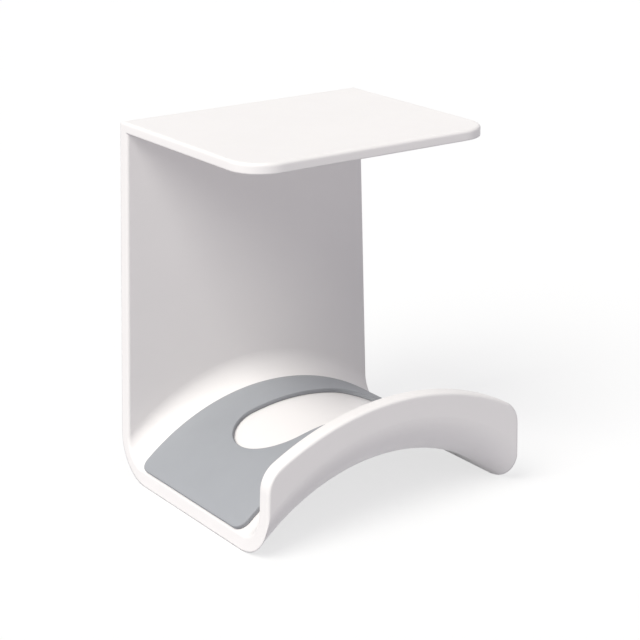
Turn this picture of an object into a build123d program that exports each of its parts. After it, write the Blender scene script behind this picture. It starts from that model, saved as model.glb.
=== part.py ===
from build123d import *
from math import radians, sqrt, tan
import os

# Headphone hanger: one moulded bracket that fastens under a desk, and the soft
# pad that lies on its saddle. X runs across the desk edge, Y towards the back,
# Z up. The origin is the middle of the plate's top face.

# Plate that fastens under the desk
plate_width = 69.0
plate_depth = 55.6
plate_thickness = 2.4
plate_corner = 8.5

# Back wall, saddle floor and front lip, as seen in side view
wall = 3.0
floor = 3.5
lip = 3.8
crown_drop = 74.9          # from the plate's top face to the saddle's underside at mid width
reach = 64.9               # from the back of the wall to the front of the lip
bend_outside = 11.0
back_bend_inside = 6.5
front_bend_inside = 7.0

# Front view: sides that flare downwards, saddle arch and lip outline
side_flare = 1.95          # degrees
arch_radius = 54.5
lip_rise = 16.8            # from the saddle's underside to the top of the lip, at mid width
lip_arch_radius = 70.0
lip_corner = 7.0

# Edges
edge_round = 0.7

# Soft pad and its window
pad_thickness = 1.15
pad_end_gap = 0.5          # between the pad and the ends of the saddle
pad_side_gap = 0.1         # between the pad and the start of each bend
pad_front_corner = 3.2
pad_back_corner = 2.5
pad_edge_round = 0.3
window_length = 44.8       # at the sheet's underside
window_width = 20.5

# Derived places
back = plate_depth / 2
front = back - reach
wall_inside = back - wall
lip_inside = front + lip
underside = -crown_drop
floor_top = underside + floor
flat_back = wall_inside - back_bend_inside
flat_front = lip_inside + front_bend_inside
cut_room = 5.0             # how far cutting shapes run past the bracket
near = 0.1                 # tolerance for picking faces and edges by place


def half_width_at(z):
    """Half of the bracket's width at height z."""
    return plate_width / 2 - tan(radians(side_flare)) * z


def fall(radius, x):
    """How far an arch of this radius has dropped at x, below its crown."""
    return radius - sqrt(radius**2 - x**2)


# The saddle ends where the flared sides meet the arch
end_x = half_width_at(underside)
for _ in range(20):
    end_x = half_width_at(underside - fall(arch_radius, end_x))

# The profiles run a little past the saddle's ends before they are cut to the flare
sweep_x = end_x + 1.5
sweep_fall = fall(arch_radius, sweep_x)
wall_top = sweep_fall + cut_room
lip_crown = underside + lip_rise
lip_top = lip_crown + cut_room
deep = 2 * underside

# The arch, and the plane at its end on which the side profiles are drawn
with BuildLine() as arch:
    ThreePointArc((-sweep_x, 0, -sweep_fall), (0, 0, 0), (sweep_x, 0, -sweep_fall))
side_plane = Plane(origin=(-sweep_x, 0, -sweep_fall), x_dir=(0, 1, 0), z_dir=(1, 0, 0))

# Lip outline in front view: arched top, round corners, sides with the same flare
shoulder_z = lip_crown - fall(lip_arch_radius, half_width_at(underside))
shoulder_x = half_width_at(shoulder_z)
lip_room = 1.0             # the outline starts this far behind the lip, in the open
with BuildSketch(Plane.XZ.offset(-lip_inside - lip_room)) as lip_view:
    with BuildLine():
        ThreePointArc((-shoulder_x, shoulder_z), (0, lip_crown), (shoulder_x, shoulder_z))
        Polyline(
            (shoulder_x, shoulder_z),
            (half_width_at(deep), deep),
            (-half_width_at(deep), deep),
            (-shoulder_x, shoulder_z),
        )
    make_face()
    fillet(lip_view.vertices().group_by(Axis.Y)[-1], lip_corner)

# What is trimmed from the lip: all round its outline, with the front edge rounded
with BuildPart() as lip_form:
    add(lip_view.sketch)
    extrude(amount=lip + lip_room, dir=(0, -1, 0))
    lip_front = lip_form.faces().sort_by(Axis.Y)[0]
    fillet(lip_front.edges().filter_by(lambda e: e.center().Z > deep + near), edge_round)
with BuildPart() as lip_waste:
    waste_height = -deep - plate_thickness - near
    with Locations((0, front - cut_room, deep)):
        Box(
            4 * end_x,
            cut_room + lip + lip_room,
            waste_height,
            align=(Align.CENTER, Align.MIN, Align.MIN),
        )
    add(lip_form.part, mode=Mode.SUBTRACT)

with BuildPart() as bracket:
    # Wall, floor and lip in one profile, carried level across the arch
    with BuildSketch(side_plane):
        with BuildLine():
            Polyline(
                (back, underside + bend_outside),
                (back, wall_top),
                (wall_inside, wall_top),
                (wall_inside, floor_top + back_bend_inside),
            )
            RadiusArc(
                (wall_inside, floor_top + back_bend_inside),
                (flat_back, floor_top),
                back_bend_inside,
            )
            Line((flat_back, floor_top), (flat_front, floor_top))
            RadiusArc(
                (flat_front, floor_top),
                (lip_inside, floor_top + front_bend_inside),
                front_bend_inside,
            )
            Polyline(
                (lip_inside, floor_top + front_bend_inside),
                (lip_inside, lip_top),
                (front, lip_top),
                (front, underside + bend_outside),
            )
            RadiusArc(
                (front, underside + bend_outside),
                (front + bend_outside, underside),
                -bend_outside,
            )
            Line((front + bend_outside, underside), (back - bend_outside, underside))
            RadiusArc(
                (back - bend_outside, underside),
                (back, underside + bend_outside),
                -bend_outside,
            )
        make_face()
    sweep(path=arch.line, normal=(1, 0, 0))

    # Plate, cut with the rest to the flared sides
    with BuildSketch():
        Rectangle(2 * sweep_x, plate_depth)
    extrude(amount=-plate_thickness)
    with BuildSketch(Plane.XZ):
        with BuildLine():
            Polyline(
                (-half_width_at(0), 0),
                (half_width_at(0), 0),
                (half_width_at(deep), deep),
                (-half_width_at(deep), deep),
                close=True,
            )
        make_face()
    extrude(amount=2 * reach, both=True, mode=Mode.INTERSECT)

    # Round the plate's front corners and trim the lip to its outline
    corners = bracket.edges().filter_by(
        lambda e: abs(e.center().Y + back) < near
        and abs(e.center().Z + plate_thickness / 2) < near
        and abs(e.center().X) > plate_width / 3
    )
    fillet(corners, plate_corner)
    add(lip_waste.part, mode=Mode.SUBTRACT)

    # Soften the top face's outline and the inner edges of wall, floor and lip. The
    # outer edges and the plate's lower ones stay crisp, as the mould leaves them.
    top_edges = bracket.faces().sort_by(Axis.Z)[-1].edges()
    inside = bracket.faces().filter_by(
        lambda f: abs(f.center().X) < near
        and lip_inside - near < f.center().Y < wall_inside + near
        and floor_top - near < f.center().Z < -plate_thickness - near
    )
    ends = bracket.faces().filter_by(lambda f: abs(f.normal_at().X) > 0.9)
    lip_tops = bracket.faces().filter_by(
        lambda f: front + edge_round < f.center().Y < lip_inside - near
        and f.center().Z > underside
    )
    rim = inside.edges() & (ends + lip_tops).edges()
    fillet(top_edges + rim, edge_round)

# Pad: a sheet of even thickness bent over the floor, with its ends square to it
pad_back = flat_back - pad_side_gap
pad_front = flat_front + pad_side_gap
pad_middle = (pad_back + pad_front) / 2
arch_middle = floor_top - arch_radius
spread = 1 + pad_thickness / arch_radius     # from the sheet's underside to its top
foot_x = end_x - pad_end_gap
foot_rise = arch_radius - fall(arch_radius, foot_x)
window_foot_rise = arch_radius - fall(arch_radius, window_length / 2)
with BuildPart() as pad:
    with BuildSketch(Plane.XZ.offset(-pad_back)):
        with BuildLine():
            underneath = ThreePointArc(
                (-foot_x, arch_middle + foot_rise),
                (0, floor_top),
                (foot_x, arch_middle + foot_rise),
            )
            on_top = ThreePointArc(
                (-foot_x * spread, arch_middle + foot_rise * spread),
                (0, floor_top + pad_thickness),
                (foot_x * spread, arch_middle + foot_rise * spread),
            )
            Line(underneath @ 0, on_top @ 0)
            Line(underneath @ 1, on_top @ 1)
        make_face()
    extrude(amount=pad_back - pad_front)
    for side, corner in ((0, pad_front_corner), (-1, pad_back_corner)):
        uprights = pad.edges().filter_by(lambda e: e.length < pad_thickness + near)
        fillet(uprights.group_by(Axis.Y)[side], corner)

    # The window's ends lean with the sheet, so its length grows with the height
    for rise in (window_foot_rise - cut_room, window_foot_rise + 2 * cut_room):
        with BuildSketch(Plane.XY.offset(arch_middle + rise)):
            with Locations((0, pad_middle)):
                SlotOverall(window_length * rise / window_foot_rise, window_width)
    loft(mode=Mode.SUBTRACT)
    pad_top = pad.faces().sort_by(SortBy.AREA)[-2:].sort_by(Axis.Z)[-1]
    fillet(pad_top.edges(), pad_edge_round)

os.makedirs("parts", exist_ok=True)
bracket.part.label = "bracket"
export_step(bracket.part, "parts/bracket.step")
pad.part.label = "pad"
export_step(pad.part, "parts/pad.step")
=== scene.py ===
import math
import bpy
import bmesh
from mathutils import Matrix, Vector


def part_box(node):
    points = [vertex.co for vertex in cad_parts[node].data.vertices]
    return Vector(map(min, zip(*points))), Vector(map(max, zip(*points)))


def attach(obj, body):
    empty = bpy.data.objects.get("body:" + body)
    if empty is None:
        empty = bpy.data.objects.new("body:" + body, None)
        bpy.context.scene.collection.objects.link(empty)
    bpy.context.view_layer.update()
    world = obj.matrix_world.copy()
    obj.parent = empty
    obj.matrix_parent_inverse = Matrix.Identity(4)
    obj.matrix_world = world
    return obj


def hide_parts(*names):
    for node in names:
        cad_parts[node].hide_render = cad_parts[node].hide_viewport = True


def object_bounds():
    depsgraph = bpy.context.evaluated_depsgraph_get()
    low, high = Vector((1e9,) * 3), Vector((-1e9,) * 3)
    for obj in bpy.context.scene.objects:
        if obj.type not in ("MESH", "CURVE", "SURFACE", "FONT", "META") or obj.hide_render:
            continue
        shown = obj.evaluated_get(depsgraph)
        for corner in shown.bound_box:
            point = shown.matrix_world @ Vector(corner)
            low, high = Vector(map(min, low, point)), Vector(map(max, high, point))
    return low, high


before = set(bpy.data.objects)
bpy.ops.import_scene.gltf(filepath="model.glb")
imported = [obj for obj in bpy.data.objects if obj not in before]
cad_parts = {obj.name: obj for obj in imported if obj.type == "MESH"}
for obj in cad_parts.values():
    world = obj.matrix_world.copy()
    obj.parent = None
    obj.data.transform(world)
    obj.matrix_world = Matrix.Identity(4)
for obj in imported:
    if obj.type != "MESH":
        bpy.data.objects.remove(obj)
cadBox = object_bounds()
print("bracket and pad loaded")

mm = 0.001

# Camera: from the left and a little above, with the lip towards the lens
viewSettings = {
    "place": (-241.93 * mm, -341.61 * mm, 94.29 * mm),
    "tilt": 71.10,  # degrees from straight down
    "turn": -35.729,
    "lens": 101.71,  # in mm, as the sensor's width is
    "sensor": 36,
    "nearest": 10 * mm,  # nothing closer is drawn
}

bpy.ops.object.camera_add(
    location=viewSettings["place"],
    rotation=(math.radians(viewSettings["tilt"]), 0, math.radians(viewSettings["turn"])),
)
camera = bpy.context.object
camera.data.lens = viewSettings["lens"]
camera.data.sensor_width = viewSettings["sensor"]
camera.data.clip_start = viewSettings["nearest"]
camera.data.dof.use_dof = False
bpy.context.scene.camera = camera
print("camera placed")

# The mould's texture, as both pieces have it
surfaceNoise = {
    "driftScale": 38,  # slow change in tone over the piece
    "driftDetail": 3,
    "cloudScale": 210,  # patches a little glossier or duller
    "cloudDetail": 4,
    "grainDetail": 2,
    "grainDepth": 0.1 * mm,
    "noiseLow": 0.3,  # nearly all the noise lies between these two
    "noiseHigh": 0.7,
    "edgeSamples": 6,  # more gives smoother edges and slower renders
}


def nodeTree(name):
    material = bpy.data.materials.new(name)
    material.use_nodes = True
    material.node_tree.nodes.clear()
    return material, material.node_tree.nodes, material.node_tree.links


def noiseAt(nodes, links, place, scale, detail):
    texture = nodes.new("ShaderNodeTexNoise")
    texture.inputs["Scale"].default_value = scale
    texture.inputs["Detail"].default_value = detail
    links.new(place.outputs["Object"], texture.inputs["Vector"])
    return texture.outputs["Fac"]


def noiseBetween(nodes, links, noise, least, most):
    spread = nodes.new("ShaderNodeMapRange")
    spread.inputs["From Min"].default_value = surfaceNoise["noiseLow"]
    spread.inputs["From Max"].default_value = surfaceNoise["noiseHigh"]
    spread.inputs["To Min"].default_value = least
    spread.inputs["To Max"].default_value = most
    links.new(noise, spread.inputs["Value"])
    return spread.outputs["Result"]


def finelyGrained(name, look):
    # moulded surface: slow drift in tone and gloss, a fine even grain, softened edges
    material, nodes, links = nodeTree(name)
    out = nodes.new("ShaderNodeOutputMaterial")
    skin = nodes.new("ShaderNodeBsdfPrincipled")
    skin.inputs["IOR"].default_value = look["ior"]
    place = nodes.new("ShaderNodeTexCoord")

    drift = noiseAt(nodes, links, place, surfaceNoise["driftScale"], surfaceNoise["driftDetail"])
    tone = noiseBetween(nodes, links, drift, 1 - look["shadeShift"], 1 + look["shadeShift"])
    tint = nodes.new("ShaderNodeVectorMath")
    tint.operation = "SCALE"
    tint.inputs[0].default_value = look["colour"][:3]
    links.new(tone, tint.inputs["Scale"])
    links.new(tint.outputs["Vector"], skin.inputs["Base Color"])

    cloud = noiseAt(nodes, links, place, surfaceNoise["cloudScale"], surfaceNoise["cloudDetail"])
    gloss = noiseBetween(nodes, links, cloud, look["roughLow"], look["roughHigh"])
    links.new(gloss, skin.inputs["Roughness"])

    edges = nodes.new("ShaderNodeBevel")
    edges.samples = surfaceNoise["edgeSamples"]
    edges.inputs["Radius"].default_value = look["softEdge"]
    grain = nodes.new("ShaderNodeBump")
    grain.inputs["Strength"].default_value = look["grain"]
    grain.inputs["Distance"].default_value = surfaceNoise["grainDepth"]
    pores = noiseAt(nodes, links, place, look["grainScale"], surfaceNoise["grainDetail"])
    links.new(pores, grain.inputs["Height"])
    links.new(edges.outputs["Normal"], grain.inputs["Normal"])
    links.new(grain.outputs["Normal"], skin.inputs["Normal"])
    links.new(skin.outputs["BSDF"], out.inputs["Surface"])
    return material


# Bracket: the CAD shape in warm white moulded plastic
shell = {
    "colour": (0.855, 0.831, 0.823, 1),
    "ior": 1.48,
    "shadeShift": 0.009,  # how far the tone drifts, either way
    "roughLow": 0.34,
    "roughHigh": 0.44,
    "grain": 0.12,  # strength of the mould's fine texture
    "grainScale": 5200,
    "softEdge": 0.45 * mm,  # how far the shading of crisp edges is softened
}

moulding = finelyGrained("satinWhiteMoulding", shell)
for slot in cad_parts["bracket"].material_slots:
    slot.material = moulding
print("bracket finished")

# Pad: a grey silicone sheet with a window, bent over the saddle's floor
softPad = {
    "thickness": 1.15 * mm,
    "archRadius": 54.5 * mm,  # of the floor that the sheet is bent over
    "frontCorner": 3.2 * mm,
    "backCorner": 2.5 * mm,
    "cornerSteps": 10,
    "windowLength": 44.8 * mm,  # straight across, at the sheet's underside
    "windowWidth": 20.5 * mm,
    "windowSteps": 24,
    "edgeRound": 0.3 * mm,
    "edgeSteps": 4,
    "edgeAngle": 50,  # degrees, sharper edges are rounded
    "faceLevel": 0.95,  # what is tipped further than this counts as rim, and gets the painted shade
    "strips": 60,  # cuts across the arch, so the bent sheet is smooth
    "smoothAngle": 40,
    "colour": (0.342, 0.353, 0.375, 1),
    "paintedRimShade": 0.78,  # painted shade: the cut sides are coloured darker than the face, standing in for the shade and contact shadow along them
    "ior": 1.41,
    "shadeShift": 0.025,
    "roughLow": 0.55,
    "roughHigh": 0.68,
    "grain": 0.2,
    "grainScale": 7000,
    "softEdge": 0.12 * mm,
}


def deselectAll():
    if bpy.context.object and bpy.context.object.mode != "OBJECT":
        bpy.ops.object.mode_set(mode="OBJECT")
    bpy.ops.object.select_all(action="DESELECT")


def pickOnly(piece):
    deselectAll()
    piece.select_set(True)
    bpy.context.view_layer.objects.active = piece


def flatSheet(name, middle, length, width):
    # a plane at its size and place, at height 0
    deselectAll()
    bpy.ops.mesh.primitive_plane_add(size=1, location=(middle.x, middle.y, 0))
    sheet = bpy.context.object
    sheet.name = name
    sheet.scale = (length, width, 1)
    bpy.ops.object.transform_apply(location=True, rotation=True, scale=True)
    return sheet


def roundCorners(sheet, wanted, radius, steps):
    # vertex bevel on the corners picked by place
    bpy.context.view_layer.objects.active = sheet
    bpy.ops.object.mode_set(mode="EDIT")
    bpy.ops.mesh.select_mode(type="VERT")
    bpy.ops.mesh.select_all(action="DESELECT")
    mesh = bmesh.from_edit_mesh(sheet.data)
    for corner in mesh.verts:
        corner.select = wanted(corner.co)
    mesh.select_flush(True)
    bmesh.update_edit_mesh(sheet.data)
    bpy.ops.mesh.bevel(offset=radius, segments=steps, affect="VERTICES", profile=0.5)
    bpy.ops.object.mode_set(mode="OBJECT")


def thicken(sheet, bottom, top):
    pickOnly(sheet)
    bpy.ops.object.mode_set(mode="EDIT")
    bpy.ops.mesh.select_all(action="SELECT")
    bpy.ops.transform.translate(value=(0, 0, bottom))
    bpy.ops.mesh.extrude_region_move(TRANSFORM_OT_translate={"value": (0, 0, top - bottom)})
    bpy.ops.mesh.select_all(action="SELECT")
    bpy.ops.mesh.normals_make_consistent(inside=False)
    bpy.ops.object.mode_set(mode="OBJECT")


def cutWindow(sheet, middle):
    radius, width = softPad["archRadius"], softPad["windowWidth"]
    roundEnd = width / 2 - 0.001 * mm  # just short of half, so the bevels do not meet
    cutterReach = 10 * mm
    cutter = flatSheet("windowCutter", middle, softPad["windowLength"], width)
    roundCorners(cutter, lambda p: True, roundEnd, softPad["windowSteps"])
    for point in cutter.data.vertices:  # unrolled onto the flat sheet
        point.co.x = radius * math.asin(point.co.x / radius)
    thicken(cutter, -cutterReach, cutterReach)
    pickOnly(sheet)
    window = sheet.modifiers.new("window", "BOOLEAN")
    window.operation = "DIFFERENCE"
    window.object = cutter
    window.solver = "EXACT"
    bpy.ops.object.modifier_apply(modifier="window")
    bpy.data.objects.remove(cutter)


def softenRim(sheet):
    rim = sheet.modifiers.new("softRim", "BEVEL")
    rim.width = softPad["edgeRound"]
    rim.segments = softPad["edgeSteps"]
    rim.limit_method = "ANGLE"
    rim.angle_limit = math.radians(softPad["edgeAngle"])
    rim.use_clamp_overlap = False
    bpy.ops.object.modifier_apply(modifier="softRim")


def bendOver(sheet, halfLength, axisHeight):
    # cut into strips first, so that the flat sheet can follow the arch
    radius, strips = softPad["archRadius"], softPad["strips"]
    bpy.ops.object.mode_set(mode="EDIT")
    for cut in range(1, strips):
        across = halfLength * (2 * cut / strips - 1)
        bpy.ops.mesh.select_all(action="SELECT")
        bpy.ops.mesh.bisect(plane_co=(across, 0, 0), plane_no=(1, 0, 0))
    bpy.ops.object.mode_set(mode="OBJECT")
    # faces tipped past faceLevel take material 1, the copy with painted shade on the cut sides
    for face in sheet.data.polygons:
        face.material_index = 0 if abs(face.normal.z) > softPad["faceLevel"] else 1
    for point in sheet.data.vertices:
        turn = point.co.x / radius
        reach = radius + point.co.z
        point.co.x = reach * math.sin(turn)
        point.co.z = axisHeight + reach * math.cos(turn)
    bpy.ops.object.shade_smooth_by_angle(angle=math.radians(softPad["smoothAngle"]))


def makePad():
    low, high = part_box("pad")
    middle = (low + high) / 2
    radius, thickness = softPad["archRadius"], softPad["thickness"]
    axisHeight = high.z - thickness - radius
    halfLength = radius * math.acos((low.z - axisHeight) / radius)  # along the bend
    steps = softPad["cornerSteps"]
    nearBack = high.y - 0.01 * mm  # only the back corners lie past it
    sheet = flatSheet("saddlePad", middle, 2 * halfLength, high.y - low.y)
    roundCorners(sheet, lambda p: p.y < middle.y, softPad["frontCorner"], steps)
    roundCorners(sheet, lambda p: p.y > nearBack, softPad["backCorner"], steps)
    thicken(sheet, 0, thickness)
    cutWindow(sheet, middle)
    softenRim(sheet)
    bendOver(sheet, halfLength, axisHeight)
    return sheet


pad = makePad()
# painted shade: a darker copy of the silicone for the cut sides, standing in for their shade and
# contact shadow
paintedShadeSides = dict(softPad)
paintedShadeSides["colour"] = [softPad["paintedRimShade"] * part for part in softPad["colour"]]
pad.data.materials.append(finelyGrained("greySilicone", softPad))
pad.data.materials.append(finelyGrained("greySiliconePaintedShade", paintedShadeSides))
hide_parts("pad")
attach(pad, "root")
print("pad finished")

# Studio: pale paper floor, even fill and one soft key
plainWhite = (1, 1, 1, 1)
studio = {
    "paper": (0.95, 0.95, 0.95, 1),  # as the camera sees it
    "paperBounce": (0.56, 0.555, 0.59, 1),  # what it throws back on the object
    "whiteShare": 0.7,  # how much plain white the camera sees in it
    "paperSize": 4,  # metres
    "paperGap": 0.02 * mm,  # below the object's lowest tips
    "fill": 0.37,  # even light from all round
    "fillTint": (1.0, 0.983, 1.055, 1),
    "key": 2.97,
    "keyTint": (1.0, 0.997, 0.952),
    "keySpread": 36,  # degrees, soft shadows
    "keyFrom": (-0.63, -0.22, 0.745),  # left, a little in front, high up
}


def seenRays(nodes, links):
    # 1 for what the camera sees, straight, in a reflection or through glass
    rays = nodes.new("ShaderNodeLightPath")
    direct = nodes.new("ShaderNodeMath")
    direct.operation = "MAXIMUM"
    anyway = nodes.new("ShaderNodeMath")
    anyway.operation = "MAXIMUM"
    links.new(rays.outputs["Is Camera Ray"], direct.inputs[0])
    links.new(rays.outputs["Is Glossy Ray"], direct.inputs[1])
    links.new(direct.outputs["Value"], anyway.inputs[0])
    links.new(rays.outputs["Is Transmission Ray"], anyway.inputs[1])
    return anyway.outputs["Value"]


def eitherColour(nodes, links, seen, lighting, looking):
    # one colour to light the object with, another to look at
    tone = nodes.new("ShaderNodeMix")
    tone.data_type = "RGBA"
    tone.inputs["A"].default_value = lighting
    tone.inputs["B"].default_value = looking
    links.new(seen, tone.inputs["Factor"])
    return tone.outputs["Result"]


def makeFloor():
    deselectAll()
    lowest = cadBox[0].z - studio["paperGap"]
    bpy.ops.mesh.primitive_plane_add(size=studio["paperSize"], location=(0, 0, lowest))
    ground = bpy.context.object
    ground.name = "paleFloor"
    material, nodes, links = nodeTree("palePaper")
    out = nodes.new("ShaderNodeOutputMaterial")
    paper = nodes.new("ShaderNodeBsdfDiffuse")
    glow = nodes.new("ShaderNodeEmission")  # strength 1 is white
    blend = nodes.new("ShaderNodeMixShader")
    seen = seenRays(nodes, links)
    tone = eitherColour(nodes, links, seen, studio["paperBounce"], studio["paper"])
    share = nodes.new("ShaderNodeMath")
    share.operation = "MULTIPLY"
    share.inputs[1].default_value = studio["whiteShare"]
    links.new(tone, paper.inputs["Color"])
    links.new(seen, share.inputs[0])
    links.new(share.outputs["Value"], blend.inputs["Fac"])
    links.new(paper.outputs["BSDF"], blend.inputs[1])
    links.new(glow.outputs["Emission"], blend.inputs[2])
    links.new(blend.outputs["Shader"], out.inputs["Surface"])
    ground.data.materials.append(material)


def lightStudio():
    world = bpy.context.scene.world or bpy.data.worlds.new("studio")
    bpy.context.scene.world = world
    world.use_nodes = True
    nodes, links = world.node_tree.nodes, world.node_tree.links
    nodes.clear()
    out = nodes.new("ShaderNodeOutputWorld")
    sky = nodes.new("ShaderNodeBackground")
    seen = seenRays(nodes, links)
    tint = eitherColour(nodes, links, seen, studio["fillTint"], plainWhite)
    strength = nodes.new("ShaderNodeMapRange")
    strength.inputs["To Min"].default_value = studio["fill"]
    strength.inputs["To Max"].default_value = 1  # white to the camera
    links.new(seen, strength.inputs["Value"])
    links.new(tint, sky.inputs["Color"])
    links.new(strength.outputs["Result"], sky.inputs["Strength"])
    links.new(sky.outputs["Background"], out.inputs["Surface"])

    bpy.ops.object.light_add(type="SUN", location=studio["keyFrom"])
    key = bpy.context.object
    key.name = "keyLight"
    key.data.energy = studio["key"]
    key.data.color = studio["keyTint"]
    key.data.angle = math.radians(studio["keySpread"])
    key.rotation_euler = (-Vector(studio["keyFrom"])).to_track_quat("-Z", "Y").to_euler()


makeFloor()
lightStudio()
bpy.context.scene.view_settings.view_transform = "Standard"
print("studio lit")
